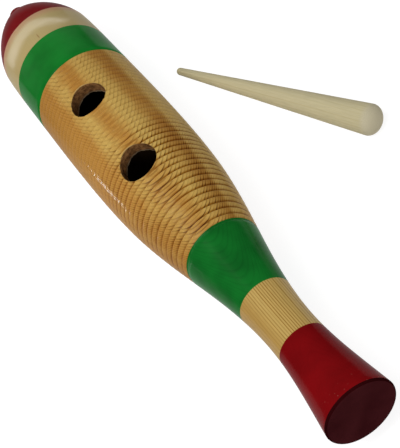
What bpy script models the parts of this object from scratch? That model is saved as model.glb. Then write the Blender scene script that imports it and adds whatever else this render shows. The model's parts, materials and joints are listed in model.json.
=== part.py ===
"""Fish-shaped guiro: a hollow turned wooden rasp with two finger holes, and its scraper stick.

Metres, +Z up. The fish lies on its belly, nose along +X, with the finger holes up, and the stick lies
beside it. The origin is on the table, under the middle of everything.
"""

import math

import bmesh
import bpy
from mathutils import Matrix, Vector

MM = 0.001
GAP = 0.3  # left between pieces that touch, in mm

# The fish is turned about one axis. All these are mm, and places are measured along the axis from the
# flat end of the tail.
BODY_OUTLINE = (  # place, radius, slope
    (0.0, 19.9, -0.137),  # rim of the flared tail
    (60.5, 13.5, 0.0),  # waist of the neck
    (128.0, 22.3, 0.203),  # start of the rasp
    (185.0, 31.15, 0.075),
    (250.0, 33.0, 0.0),  # widest place of the belly
    (300.0, 32.5, -0.014),
    (326.0, 32.15, -0.014),
    (350.0, 31.25, -0.065),  # front edge, where the nose sits
)
BODY_END = BODY_OUTLINE[-1][0]
TAIL_RIM_ROUND = 1.4
OUTLINE_STEP = 9.0

# The rasp: ridges that climb gently towards the head and fall steeply into the next groove.
RASP_START = 127.7
RASP_END = 292.4
RIDGES = 39
GROOVE_DEPTH = 0.6
RIDGE_CLIMB = 0.8  # share of the pitch from a groove up to the crest
SHOULDER = 0.8  # from the smooth wood down into the first and the last groove

# Painted bands. What lies between them is clear-lacquered wood.
TAIL_RED_END = 50.0
NECK_GREEN_START = 85.5
HEAD_GREEN_END = 324.0

# The chamber is bored from the head end and ends in a dome. The finger holes are drilled into it by eye,
# so they are a little out of line.
BORE_RADIUS = 24.6
BORE_DOME_START = 180.0
BORE_DOME_DEPTH = 22.0
HOLE_PLACES = (191.0, 254.5)
HOLE_TURNS = (math.radians(-1.6), math.radians(1.6))  # about the axis, from straight up
HOLE_RADIUS = 11.4
HOLE_TOP = 40.0

# The nose closes the bore: an ogive with a small round mouth at its tip, and a spigot behind.
NOSE_OUTLINE = (
    (BODY_END + GAP, 31.15, -0.15),
    (395.5, 8.0, -0.8),
)
NOSE_STEP = 5.0
SPIGOT_LENGTH = 15.0
SPIGOT_CHAMFER = 1.5
MOUTH_RADIUS = 6.4
MOUTH_TIP = 402.0
MOUTH_ROUND = 3.0

# The stick is a plain taper with a domed butt and a round tip.
STICK_LENGTH = 160.5
STICK_BUTT_RADIUS = 8.8
STICK_TIP_RADIUS = 2.3
STICK_BUTT_DOME = 6.0
STICK_BUTT_PLACE = (139.3, -107.3)  # along and across the fish, from the tail's end
STICK_TURN = math.radians(21.0)

# The fish lies on the ridges under its centre of mass, so its axis tilts by the outline's slope there.
BALANCE_PLACE = 223.7

BODY_SEGMENTS = 32
HOLE_SEGMENTS = 28
STICK_SEGMENTS = 20
ARC_STEPS = 4
SMOOTH_ANGLE = math.radians(32)

WOOD, GREEN, RED, BORED = range(4)
FINISHES = {
    WOOD: ("lacquered_pine", (0.42, 0.25, 0.075), 0.35),
    GREEN: ("green_lacquer", (0.012, 0.13, 0.021), 0.3),
    RED: ("red_lacquer", (0.19, 0.004, 0.006), 0.28),
    BORED: ("bored_pine", (0.14, 0.072, 0.027), 0.8),
}


def remove_everything():
    for item in list(bpy.data.objects):
        bpy.data.objects.remove(item)


def material(name, colour, roughness):
    made = bpy.data.materials.new(name)
    made.use_nodes = True
    shader = made.node_tree.nodes["Principled BSDF"]
    shader.inputs["Base Color"].default_value = (*colour, 1.0)
    shader.inputs["Roughness"].default_value = roughness
    shader.inputs["Metallic"].default_value = 0.0
    made.diffuse_color = (*colour, 1.0)
    return made


def radius_at(outline, place):
    """Radius of a smooth outline: a cubic between each two stations, which give radius and slope."""
    for (start, r_start, slope_start), (end, r_end, slope_end) in zip(outline, outline[1:]):
        if place <= end:
            break
    length = end - start
    t = (place - start) / length
    return (
        (2 * t**3 - 3 * t**2 + 1) * r_start
        + (t**3 - 2 * t**2 + t) * length * slope_start
        + (3 * t**2 - 2 * t**3) * r_end
        + (t**3 - t**2) * length * slope_end
    )


def places(start, end, step):
    """Evenly spaced places from start up to, but not including, end."""
    count = max(1, round((end - start) / step))
    return [start + (end - start) * i / count for i in range(count)]


def quarter_round(place, radius, along, across):
    """Points of a quarter ellipse that leaves (place, radius + across) and ends at (place + along, radius)."""
    angles = [math.pi / 2 * i / ARC_STEPS for i in range(ARC_STEPS + 1)]
    return [(place + along * math.sin(angle), radius + across * math.cos(angle)) for angle in angles]


def body_profile():
    """(place, radius) from the middle of the tail, along the outside, and back down the bore."""
    rim = radius_at(BODY_OUTLINE, TAIL_RIM_ROUND) - TAIL_RIM_ROUND
    points = [(0.0, 0.0)]
    points += reversed(quarter_round(TAIL_RIM_ROUND, rim, -TAIL_RIM_ROUND, TAIL_RIM_ROUND))
    stops = (TAIL_RIM_ROUND, TAIL_RED_END, NECK_GREEN_START, RASP_START - SHOULDER)
    outside = [p for a, b in zip(stops, stops[1:]) for p in places(a, b, OUTLINE_STEP)][1:] + [stops[-1]]
    points += [(p, radius_at(BODY_OUTLINE, p)) for p in outside]
    pitch = (RASP_END - RASP_START) / RIDGES
    for ridge in range(RIDGES):
        foot = RASP_START + ridge * pitch
        crest = foot + RIDGE_CLIMB * pitch
        points.append((foot, radius_at(BODY_OUTLINE, foot) - GROOVE_DEPTH))
        points.append((crest, radius_at(BODY_OUTLINE, crest)))
    points.append((RASP_END, radius_at(BODY_OUTLINE, RASP_END) - GROOVE_DEPTH))
    head = places(RASP_END + SHOULDER, HEAD_GREEN_END, OUTLINE_STEP)
    head += places(HEAD_GREEN_END, BODY_END, OUTLINE_STEP) + [BODY_END]
    points += [(p, radius_at(BODY_OUTLINE, p)) for p in head]
    points.append((BODY_END, BORE_RADIUS))
    points += quarter_round(BORE_DOME_START, 0.0, -BORE_DOME_DEPTH, BORE_RADIUS)
    return points


def nose_profile():
    """(place, radius) from the end of the spigot, up its shoulder and over the nose to the mouth."""
    seat, edge, _ = NOSE_OUTLINE[0]
    face = NOSE_OUTLINE[-1][0]
    spigot = BORE_RADIUS - GAP
    back = BODY_END - SPIGOT_LENGTH
    points = [(back, 0.0), (back, spigot - SPIGOT_CHAMFER), (back + SPIGOT_CHAMFER, spigot)]
    points += [(seat, spigot), (seat, edge)]
    points += [(p, radius_at(NOSE_OUTLINE, p)) for p in places(seat, face, NOSE_STEP)[1:]]
    points += [(face, NOSE_OUTLINE[-1][1]), (face + MOUTH_ROUND / 2, MOUTH_RADIUS)]
    rim = MOUTH_RADIUS - MOUTH_ROUND
    points += quarter_round(MOUTH_TIP - MOUTH_ROUND, rim, MOUTH_ROUND, MOUTH_ROUND)
    points.append((MOUTH_TIP, 0.0))
    return points


def stick_profile():
    """(place, radius) from the domed butt to the round tip."""
    butt = list(reversed(quarter_round(STICK_BUTT_DOME, 0.0, -STICK_BUTT_DOME, STICK_BUTT_RADIUS)))
    tip_start = STICK_LENGTH - STICK_TIP_RADIUS
    return butt + quarter_round(tip_start, 0.0, STICK_TIP_RADIUS, STICK_TIP_RADIUS)


def shade(mesh):
    mesh.shade_smooth()
    mesh.set_sharp_from_angle(angle=SMOOTH_ANGLE)


def turn(name, profile, segments, finishes):
    """Spin a (place, radius) profile in mm about local X, with a flat at the bottom, into one solid."""
    bm = bmesh.new()
    half_step = Matrix.Rotation(math.pi / segments, 3, "X")
    verts = [bm.verts.new(half_step @ Vector((place, 0.0, radius)) * MM) for place, radius in profile]
    edges = [bm.edges.new(pair) for pair in zip(verts, verts[1:])]
    bmesh.ops.spin(
        bm,
        geom=verts + edges,
        cent=(0.0, 0.0, 0.0),
        axis=(1.0, 0.0, 0.0),
        angle=2 * math.pi,
        steps=segments,
        use_merge=True,
    )
    bmesh.ops.remove_doubles(bm, verts=bm.verts, dist=0.001 * MM)
    bmesh.ops.recalc_face_normals(bm, faces=bm.faces)
    mesh = bpy.data.meshes.new(name)
    bm.to_mesh(mesh)
    bm.free()
    for finish in finishes:
        mesh.materials.append(finish)
    made = bpy.data.objects.new(name, mesh)
    bpy.context.collection.objects.link(made)
    return made


def paint_body(body):
    """Give each face of the body the finish of the band that it lies in."""
    bore_floor = BORE_DOME_START - BORE_DOME_DEPTH
    for face in body.data.polygons:
        place, y, z = face.center / MM
        in_bore = place > bore_floor and math.hypot(y, z) < BORE_RADIUS + GAP
        if in_bore or place > BODY_END - GAP:
            face.material_index = BORED
        elif place < TAIL_RED_END:
            face.material_index = RED
        elif NECK_GREEN_START < place < RASP_START or RASP_END < place < HEAD_GREEN_END:
            face.material_index = GREEN
        else:
            face.material_index = WOOD


def drill_finger_holes(body, bored):
    """Cut the round finger holes through the upper wall, straight down into the chamber."""
    cutters = []
    for place, hole_turn in zip(HOLE_PLACES, HOLE_TURNS):
        upright = Matrix.Translation(Vector((place, 0.0, HOLE_TOP / 2)) * MM)
        bm = bmesh.new()
        bmesh.ops.create_cone(
            bm,
            cap_ends=True,
            segments=HOLE_SEGMENTS,
            radius1=HOLE_RADIUS * MM,
            radius2=HOLE_RADIUS * MM,
            depth=HOLE_TOP * MM,
            matrix=Matrix.Rotation(hole_turn, 4, "X") @ upright,
        )
        mesh = bpy.data.meshes.new("hole_drill")
        bm.to_mesh(mesh)
        bm.free()
        mesh.materials.append(bored)
        drill = bpy.data.objects.new("hole_drill", mesh)
        bpy.context.collection.objects.link(drill)
        cut = body.modifiers.new("finger_hole", "BOOLEAN")
        cut.object = drill
        cut.material_mode = "TRANSFER"
        cutters.append(drill)
    depsgraph = bpy.context.evaluated_depsgraph_get()
    drilled = bpy.data.meshes.new_from_object(body.evaluated_get(depsgraph))
    body.modifiers.clear()
    body.data = drilled
    for drill in cutters:
        bpy.data.objects.remove(drill)


def world_corners(pieces):
    """Lowest and highest world coordinates of all the pieces' points."""
    bpy.context.view_layer.update()
    points = [piece.matrix_world @ vertex.co for piece in pieces for vertex in piece.data.vertices]
    low = Vector(min(point[i] for point in points) for i in range(3))
    high = Vector(max(point[i] for point in points) for i in range(3))
    return low, high


def lay_on_table(fish, fish_pieces, stick, root):
    """Tilt the fish onto its ridges and the stick onto its side, then centre both over the origin."""
    slope = radius_at(BODY_OUTLINE, BALANCE_PLACE + 1) - radius_at(BODY_OUTLINE, BALANCE_PLACE - 1)
    fish.rotation_euler = (0.0, -math.atan(slope / 2), 0.0)
    flat = math.cos(math.pi / STICK_SEGMENTS)
    taper_run = STICK_LENGTH - STICK_BUTT_DOME - STICK_TIP_RADIUS
    pitch = math.atan(flat * (STICK_BUTT_RADIUS - STICK_TIP_RADIUS) / taper_run)
    stick.rotation_euler = (0.0, pitch, STICK_TURN)
    stick.location = Vector((*STICK_BUTT_PLACE, 0.0)) * MM
    fish.location.z -= world_corners(fish_pieces)[0].z
    stick.location.z -= world_corners([stick])[0].z
    low, high = world_corners([*fish_pieces, stick])
    root.location = (-(low.x + high.x) / 2, -(low.y + high.y) / 2, 0.0)


def build():
    remove_everything()
    finishes = [material(*FINISHES[key]) for key in (WOOD, GREEN, RED, BORED)]
    raw = material("raw_softwood", (0.5, 0.42, 0.25), 0.7)

    body = turn("rasp_body", body_profile(), BODY_SEGMENTS, finishes)
    paint_body(body)
    drill_finger_holes(body, finishes[BORED])
    nose = turn("nose_plug", nose_profile(), BODY_SEGMENTS, [finishes[RED]])
    stick = turn("scraper_stick", stick_profile(), STICK_SEGMENTS, [raw])
    for piece in (body, nose, stick):
        shade(piece.data)

    root = bpy.data.objects.new("guiro_set", None)
    fish = bpy.data.objects.new("fish_axis", None)
    for empty in (root, fish):
        bpy.context.collection.objects.link(empty)
    body.parent = fish
    nose.parent = fish
    fish.parent = root
    stick.parent = root
    lay_on_table(fish, [body, nose], stick, root)

    low, high = world_corners([body, nose, stick])
    print("low corner in mm", [round(value / MM, 2) for value in low])
    print("high corner in mm", [round(value / MM, 2) for value in high])
    print("tail end in mm", [round(value / MM, 3) for value in fish.matrix_world.translation])
    print("axis tilt in degrees", round(-math.degrees(fish.rotation_euler.y), 3))


build()
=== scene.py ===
# %% [markdown]
# # A fish-shaped guiro and its scraper stick
#
# A guiro is a hollow wooden rasp. The player holds it by two finger holes and draws a stick along its
# ridges. This one is turned in the shape of a fish: a flared tail, a thin neck, a ribbed belly and a round
# nose.
#
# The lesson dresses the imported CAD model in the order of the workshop: the wood and the paints first, then
# the turned pieces, the boring and drilling, the painting, and at last the studio.

# %% Load the frame
import json
import math

import bmesh
import bpy
from mathutils import Matrix, Quaternion, Vector

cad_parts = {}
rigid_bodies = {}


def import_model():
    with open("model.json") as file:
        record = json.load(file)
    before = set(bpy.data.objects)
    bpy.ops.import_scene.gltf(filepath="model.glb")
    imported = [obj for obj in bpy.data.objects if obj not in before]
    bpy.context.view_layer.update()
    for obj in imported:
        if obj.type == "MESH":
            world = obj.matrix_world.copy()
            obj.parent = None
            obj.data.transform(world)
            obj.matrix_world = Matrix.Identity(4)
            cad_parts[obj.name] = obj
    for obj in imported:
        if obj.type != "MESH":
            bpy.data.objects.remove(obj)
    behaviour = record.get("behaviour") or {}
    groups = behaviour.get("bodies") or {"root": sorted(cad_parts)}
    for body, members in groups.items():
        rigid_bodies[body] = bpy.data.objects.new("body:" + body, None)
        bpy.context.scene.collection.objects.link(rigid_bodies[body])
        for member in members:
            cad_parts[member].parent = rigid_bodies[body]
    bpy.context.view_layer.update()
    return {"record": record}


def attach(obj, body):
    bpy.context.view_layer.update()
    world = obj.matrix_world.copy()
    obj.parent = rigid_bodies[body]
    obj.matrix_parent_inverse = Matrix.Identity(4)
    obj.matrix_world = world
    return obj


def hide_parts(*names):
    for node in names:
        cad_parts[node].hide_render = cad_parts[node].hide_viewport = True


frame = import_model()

MM = 0.001

# %% [markdown]
# ## Where the fish lies
#
# Every size on a turned piece is a place along its axis and a radius. So each piece is made along its own X
# axis in millimetres, from its back end, and a matrix then lays it on the table. The record's mount on the
# flat end of the tail gives that matrix: its point is the start of the axis, and its normal points back.

# %% The fish's own axes
tail_face = frame["record"]["mounts"][0]
tail_end = Vector(tail_face["pos_m"])
towards_nose = -Vector(tail_face["axis"]).normalized()
fish_seat = Matrix.Translation(tail_end) @ Matrix.Rotation(-math.asin(towards_nose.z), 4, "Y")
tail_foot = Vector((tail_end.x, tail_end.y, 0.0))
print("the axis rises", round(math.degrees(math.asin(towards_nose.z)), 2), "degrees towards the nose")

# %% [markdown]
# ## Camera
#
# The picture is taken from above the tail, with the camera turned about its own line of sight so that the
# fish runs from corner to corner. A camera can be aimed by hand, but a place, a point to look at and a roll
# say the same in three values. A long lens keeps the tail from looking too big.

# %% Camera
CAMERA_PLACE = Vector((-346.4, -40.7, 562.4))  # mm, from the tail's foot on the table
CAMERA_TARGET = Vector((153.1, -0.6, 33.0))
CAMERA_ROLL = math.radians(-47.06)
CAMERA_LENS = 109.6  # mm, on a sensor 36 mm high


def put(name, data):
    """A new object in the scene."""
    made = bpy.data.objects.new(name, data)
    bpy.context.scene.collection.objects.link(made)
    return made


camera = put("camera", bpy.data.cameras.new("camera"))
camera.data.lens = CAMERA_LENS
camera.location = tail_foot + CAMERA_PLACE * MM
sight = (CAMERA_TARGET - CAMERA_PLACE).to_track_quat("-Z", "Y")
camera.rotation_euler = (sight @ Quaternion((0.0, 0.0, 1.0), CAMERA_ROLL)).to_euler()
bpy.context.scene.camera = camera
print("camera stands", round((CAMERA_TARGET - CAMERA_PLACE).length), "mm from what it looks at")

# %% [markdown]
# ## Helpers for colours and nodes
#
# Colours are written as a colour picker shows them, in sRGB, and nodes want linear light, so one function
# turns a hex value into a linear colour. Another adds a node with its settings and fills its sockets, so that
# a node tree reads like a short list of steps. A third starts a material.

# %% Colour and node helpers
def linear(hex_colour):
    """Linear RGBA of an sRGB hex colour."""
    shares = [int(hex_colour[i : i + 2], 16) / 255 for i in (1, 3, 5)]
    return (*[s / 12.92 if s <= 0.04045 else ((s + 0.055) / 1.055) ** 2.4 for s in shares], 1.0)


def fill(tree, sockets, values):
    """Link each named socket to its value, or set it."""
    for key, value in values.items():
        if isinstance(value, bpy.types.NodeSocket):
            tree.links.new(value, sockets[key])
        else:
            sockets[key].default_value = value


def add(tree, kind, inputs=None, operation=None, **settings):
    """Add a node, which is a shader node unless its kind says otherwise, and return its outputs."""
    node = tree.nodes.new(kind if "Node" in kind else "ShaderNode" + kind)
    if operation:
        node.operation = operation
    for name, value in settings.items():
        setattr(node, name, value)
    fill(tree, node.inputs, inputs or {})
    return node.outputs


def new_finish(name):
    """A material with its node tree and its shader's inputs."""
    finish = bpy.data.materials.new(name)
    finish.use_nodes = True
    return finish, finish.node_tree, finish.node_tree.nodes["Principled BSDF"].inputs


print("mid grey is", [round(value, 3) for value in linear("#808080")])

# %% [markdown]
# ## Growth rings in a block of pine
#
# Softwood grows a pale, soft layer in spring and a hard, brown one in summer. A block sawn from the log cuts
# through those rings, and turning it shows them as long lines where the cut crosses the rings steeply and as
# broad arcs where it only grazes them. A flat stripe texture can't do that. Here the rings are cylinders
# about the tree's pith, a line beside the piece, so every surface cut through them shows the right figure:
# on the rasp each groove dips into the next ring and leaves a dark dash.

# %% Growth rings
SOFT = {"interpolation_type": "SMOOTHSTEP"}  # for a ramp with soft ends
RING_BEND = 22.0  # mm from one bend of the rings to the next
RING_WANDER = 1.5  # mm that a ring strays from its circle
SUMMER = (0.5, 0.85)  # share of the year over which the wood turns brown
WINTER = (0.92, 1.0)  # and over which it turns pale again
VIGOUR = (0.35, 1.1)  # brown of the palest and of the darkest year


def own_place(tree, seat):
    """Place on the surface, in the piece's own axes."""
    surface = add(tree, "TexCoord")["Object"]
    lie = {"Vector": surface, "Location": seat.translation, "Rotation": seat.to_euler()}
    return add(tree, "Mapping", lie, vector_type="TEXTURE")[0]


def growth_rings(tree, place, pith, ring, wander=RING_WANDER, drift=0.2):
    """Share of brown late wood in rings `ring` mm apart, which bend `drift` times as fast along the axis."""
    slow = add(tree, "VectorMath", {0: place, 1: (drift, 1.0, 1.0)}, "MULTIPLY")[0]
    bend = add(tree, "TexNoise", {"Vector": slow, "Scale": 1 / (RING_BEND * MM), "Detail": 2.5})[0]
    offset = {0: place, 1: (0.0, 1.0, 1.0), 2: (0.0, -pith[0] * MM, -pith[1] * MM)}
    from_pith = add(tree, "VectorMath", offset, "MULTIPLY_ADD")[0]
    away = add(tree, "VectorMath", {0: from_pith}, "LENGTH")[1]
    bent = add(tree, "Math", {0: bend, 1: wander * MM, 2: away}, "MULTIPLY_ADD")[0]
    years = add(tree, "Math", {0: bent, 1: ring * MM}, "DIVIDE")[0]
    season = add(tree, "Math", {0: years}, "FRACT")[0]
    year = add(tree, "Math", {0: years}, "FLOOR")[0]
    chance = add(tree, "TexWhiteNoise", {"W": year}, noise_dimensions="1D")[0]
    vigour = add(tree, "MapRange", {0: chance, 3: VIGOUR[0], 4: VIGOUR[1]})[0]
    rise = add(tree, "MapRange", {0: season, 1: SUMMER[0], 2: SUMMER[1]}, **SOFT)[0]
    stop = add(tree, "MapRange", {0: season, 1: WINTER[0], 2: WINTER[1], 3: 1.0, 4: 0.0}, **SOFT)[0]
    grown = add(tree, "Math", {0: rise, 1: stop}, "MULTIPLY")[0]
    return add(tree, "Math", {0: grown, 1: vigour}, "MULTIPLY")[0]


print("rings are drawn as cylinders about a pith beside the piece, bent every", RING_BEND, "mm")

# %% [markdown]
# ## Fibres and blotches
#
# Two more things show on any piece of wood: fine fibres along the grain, and soft patches where it took more
# or less of the lacquer. Both are noise, and the fibres' is drawn out along the axis. Real fibres are about
# 0.03 mm wide, which is too fine to show, so they are drawn ten times as coarse or more.

# %% Fibres and blotches
def fibres(tree, place, width, length):
    """Noise drawn out along the axis, `width` mm across and `length` mm long."""
    stretch = (1 / (length * MM), 1 / (width * MM), 1 / (width * MM))
    drawn = add(tree, "VectorMath", {0: place, 1: stretch}, "MULTIPLY")[0]
    return add(tree, "TexNoise", {"Vector": drawn, "Scale": 1.0, "Detail": 3.0})[0]


def blotches(tree, place, size):
    """Soft patches about `size` mm across, from 0 to 1."""
    noise = add(tree, "TexNoise", {"Vector": place, "Scale": 1 / (size * MM), "Detail": 2.0})[0]
    return add(tree, "MapRange", {0: noise, 1: 0.3, 2: 0.7})[0]


print("fibres and blotches take their sizes in mm")

# %% [markdown]
# ## The rasp's ridges
#
# The ridges lean: each climbs gently towards the head and then falls off steeply. They could be drawn one by
# one, but they only repeat along the axis, so a saw-tooth over the place along it says everything. The lathe
# below cuts with it, and the finish uses the same saw-tooth to find the grooves.

# %% Ridges
RASP_START = 127.7  # mm from the tail's end
RASP_END = 292.4
RIDGES = 39
GROOVE_DEPTH = 0.6
RIDGE_CLIMB = 0.8  # share of the pitch from a groove up to the crest
RIDGE_SQUARENESS = 1.3  # 1 gives straight flanks, more gives rounder crests
PITCH = (RASP_END - RASP_START) / RIDGES


def grooves(tree, along, start, end, ridges, climb, squareness):
    """0 on the crests and 1 in the grooves, and the count of ridges passed."""
    passed = {0: along, 1: start, 2: end, 3: 0.0, 4: ridges}
    count = add(tree, "MapRange", passed, clamp=False)[0]
    phase = add(tree, "Math", {0: count}, "FRACT")[0]
    below = add(tree, "MapRange", {0: phase, 1: 0.0, 2: climb, 3: 1.0, 4: 0.0})[0]
    beyond = add(tree, "MapRange", {0: phase, 1: climb, 2: 1.0})[0]
    slope = add(tree, "Math", {0: below, 1: beyond}, "ADD")[0]
    return add(tree, "Math", {0: slope, 1: squareness}, "POWER")[0], count


print("rasp:", RIDGES, "ridges,", round(PITCH, 2), "mm apart")

# %% [markdown]
# ## Stain and painted shade in the grooves
#
# The grooves are cut across the fibres, drink more lacquer than the crests and hold dirt. Their darkening is
# partly that stain and partly painted shade, the shadow of the ridges. A painted mask could darken them, but
# the saw-tooth already says where they are. It also brings out the late wood on their flanks. The darkening
# differs from ridge to ridge. It is strongest where the belly swells, and weaker towards the head. It is
# stronger on the right, which faces away from the light, and weaker on the lit left: painted shade.

# %% Groove stain and painted shade
# the grooves' stain and painted shade weaken over this stretch
SWELLING = (195.0, 222.0)  # mm along, where the staining weakens
STAIN_AND_SHADE_BEYOND = 0.25  # what is left of it towards the head
# the grooves darken more on the right, which faces away from the light: painted shade
PALE_SIDE = (-12.0, 10.0)  # mm to the left, where it weakens too
SIDE_STAIN_AND_SHADE = (1.15, 0.7)  # how strong it is on the right and on the left
RIDGE_STAIN = (0.5, 1.4)  # and on the cleanest and the dirtiest ridge
# the groove darkens over this share of its depth: stain and painted shade
GROOVE_DARKENING = (0.4, 0.95)  # share of the groove's depth over which the stain gathers
FLANK = (0.05, 0.75)  # and over which the late wood comes out
FIGURE_ON_CREST = 0.3  # share of that on a crest
# the late wood's share where the groove is not darkened
FIGURE_UNDARKENED = 0.22  # share of the late wood's colour where there is no stain


def groove_stain_and_shade(tree, along, across, blotch):
    """Share of groove darkening, partly stained wood and partly painted shade, and share of the late wood's
    colour that shows.
    """
    rasp = (RASP_START * MM, RASP_END * MM, RIDGES, RIDGE_CLIMB, RIDGE_SQUARENESS)
    groove, count = grooves(tree, along, *rasp)
    swelling = {0: along, 1: SWELLING[0] * MM, 2: SWELLING[1] * MM, 3: 1.0, 4: STAIN_AND_SHADE_BEYOND}
    bite = add(tree, "MapRange", swelling, **SOFT)[0]
    sides = {0: across, 1: PALE_SIDE[0] * MM, 2: PALE_SIDE[1] * MM, 3: SIDE_STAIN_AND_SHADE[0], 4: SIDE_STAIN_AND_SHADE[1]}
    side = add(tree, "MapRange", sides, **SOFT)[0]
    darkening = add(tree, "Math", {0: bite, 1: side}, "MULTIPLY")[0]
    ridge = add(tree, "Math", {0: count}, "FLOOR")[0]
    chance = add(tree, "TexWhiteNoise", {"W": ridge}, noise_dimensions="1D")[0]
    mottle = add(tree, "Math", {0: chance, 1: blotch}, "ADD")[0]
    uneven = add(tree, "MapRange", {0: mottle, 2: 2.0, 3: RIDGE_STAIN[0], 4: RIDGE_STAIN[1]})[0]
    darkened = add(tree, "Math", {0: darkening, 1: uneven}, "MULTIPLY")[0]
    groove_darkening = add(tree, "MapRange", {0: groove, 1: GROOVE_DARKENING[0], 2: GROOVE_DARKENING[1]}, **SOFT)[0]
    stain_and_shade = add(tree, "Math", {0: groove_darkening, 1: darkened}, "MULTIPLY")[0]
    comes_out = {0: groove, 1: FLANK[0], 2: FLANK[1], 3: FIGURE_ON_CREST, 4: 1.0}
    flank = add(tree, "MapRange", comes_out, **SOFT)[0]
    brought_out = add(tree, "Math", {0: flank, 1: darkened}, "MULTIPLY")[0]
    shown = add(tree, "MapRange", {0: brought_out, 3: FIGURE_UNDARKENED, 4: 1.0})[0]
    return stain_and_shade, shown


print("the staining weakens from", SWELLING[0], "to", SWELLING[1], "mm")

# %% [markdown]
# ## The colour of the board
#
# No board has one colour. This one has browner bands along it that come out towards the head, and it is
# browner to the left and a little at both ends of the rasp. A darker stripe down the right flank is painted
# shade, where the light turns away from the fish. Instead of a painted map, a wave across the board gives the
# bands, and ramps give the rest.

# %% Board colour
BAND = 20.5  # mm across from one browner band to the next
BAND_SHIFT = 2.5  # mm that one lies to the right of the top
BAND_LIMIT = 17.0  # mm to the left, beyond which the wood stays brown
BANDED = (175.0, 215.0)  # mm along, where the bands come out
FAINT_BANDS = 0.3  # their strength before that
LEFT_BROWN = 0.03  # browner by this for each mm to the left
BLOTCH_SHARE = 0.8
TONES = (-0.55, 1.25)  # sums of these that give the palest and the brownest wood
# painted shade: a darker stripe down the right flank, where the light turns away from the fish
SHADE_STRIPE = [math.radians(angle) for angle in (24, 47, 51, 56)]  # right of the top: begin, full, full, end
SHADE_STRIPE_SHARES = (0.66, 0.42)  # its strength before and beyond the swelling
TAIL_BROWN = 0.1  # strength of the brown at the tail's end of the rasp
HEAD_BROWN = 0.16  # and at the head's
HEAD_SIDE = 240.0  # mm along, from where that one starts


def board_tone(tree, along, across, blotch):
    """Tone of the early wood, from 0 where it is palest to 1 where it is brownest."""
    limited = add(tree, "Math", {0: across, 1: BAND_LIMIT * MM}, "MINIMUM")[0]
    wave = {0: limited, 1: 2 * math.pi / (BAND * MM), 2: 2 * math.pi * BAND_SHIFT / BAND}
    swing = add(tree, "Math", wave, "MULTIPLY_ADD")[0]
    swung = add(tree, "Math", {0: swing}, "COSINE")[0]
    come_out = {0: along, 1: BANDED[0] * MM, 2: BANDED[1] * MM, 3: FAINT_BANDS, 4: 1.0}
    banded = add(tree, "MapRange", come_out)[0]
    bands = add(tree, "Math", {0: swung, 1: banded}, "MULTIPLY")[0]
    leaning = add(tree, "Math", {0: limited, 1: LEFT_BROWN / MM, 2: bands}, "MULTIPLY_ADD")[0]
    mixed = add(tree, "Math", {0: blotch, 1: BLOTCH_SHARE, 2: leaning}, "MULTIPLY_ADD")[0]
    return add(tree, "MapRange", {0: mixed, 1: TONES[0], 2: TONES[1]})[0]


def browner_and_shaded_share(tree, along, across, up):
    """Share of browner wood at both ends of the rasp, and of painted shade in a stripe down the right flank.
    """
    left = add(tree, "Math", {0: across, 1: up}, "ARCTAN2")[0]
    right = add(tree, "Math", {0: left, 1: -1.0}, "MULTIPLY")[0]
    starts = add(tree, "MapRange", {0: right, 1: SHADE_STRIPE[0], 2: SHADE_STRIPE[1]})[0]
    ends = add(tree, "MapRange", {0: right, 1: SHADE_STRIPE[2], 2: SHADE_STRIPE[3], 3: 1.0, 4: 0.0})[0]
    # the stripe is painted shade, darkest from 47 to 51 degrees right of the top
    stripe = add(tree, "Math", {0: starts, 1: ends}, "MULTIPLY")[0]
    shares = {0: along, 1: SWELLING[0] * MM, 2: SWELLING[1] * MM, 3: SHADE_STRIPE_SHARES[0], 4: SHADE_STRIPE_SHARES[1]}
    strength = add(tree, "MapRange", shares)[0]
    # brown holds the painted shade of the stripe; below, the browner wood at both ends of the rasp joins it
    brown = add(tree, "Math", {0: stripe, 1: strength}, "MULTIPLY")[0]
    tail_side = {0: along, 1: RASP_START * MM, 2: BANDED[0] * MM, 3: TAIL_BROWN, 4: 0.0}
    tanned = add(tree, "MapRange", tail_side)[0]
    elsewhere = add(tree, "Math", {0: 1.0, 1: starts}, "SUBTRACT")[0]
    brown = add(tree, "Math", {0: tanned, 1: elsewhere, 2: brown}, "MULTIPLY_ADD")[0]
    head_side = {0: along, 1: HEAD_SIDE * MM, 2: RASP_END * MM, 3: 0.0, 4: HEAD_BROWN}
    darker = add(tree, "MapRange", head_side)[0]
    return add(tree, "Math", {0: brown, 1: darker}, "ADD")[0]


print("the board's bands lie", BAND, "mm apart")

# %% [markdown]
# ## Clear-lacquered pine on the rasp
#
# The belly is bare pine under a thin clear lacquer, warm yellow with brown late wood. The board's colour with
# its painted shade down the right flank, the late wood, the stain and painted shade in the grooves, and the
# fibres are multiplied over each other. Lacquer has an index of about 1.5, but with that the softbox overhead
# lies as a haze on the rasp. With a lower one the rasp shines only at a glancing angle, where a low light
# gives it a row of glints.

# %% The pine on the rasp
BELLY_PITH = (12.0, -150.5)  # mm beside and below the axis: the rings lie almost flat
RING = 0.8  # mm from one year to the next
RASP_WANDER = 2.0  # mm
RASP_DRIFT = 0.45  # the rings bend faster along the rasp than elsewhere
STAIN_PATCH = 7.0  # mm


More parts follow.
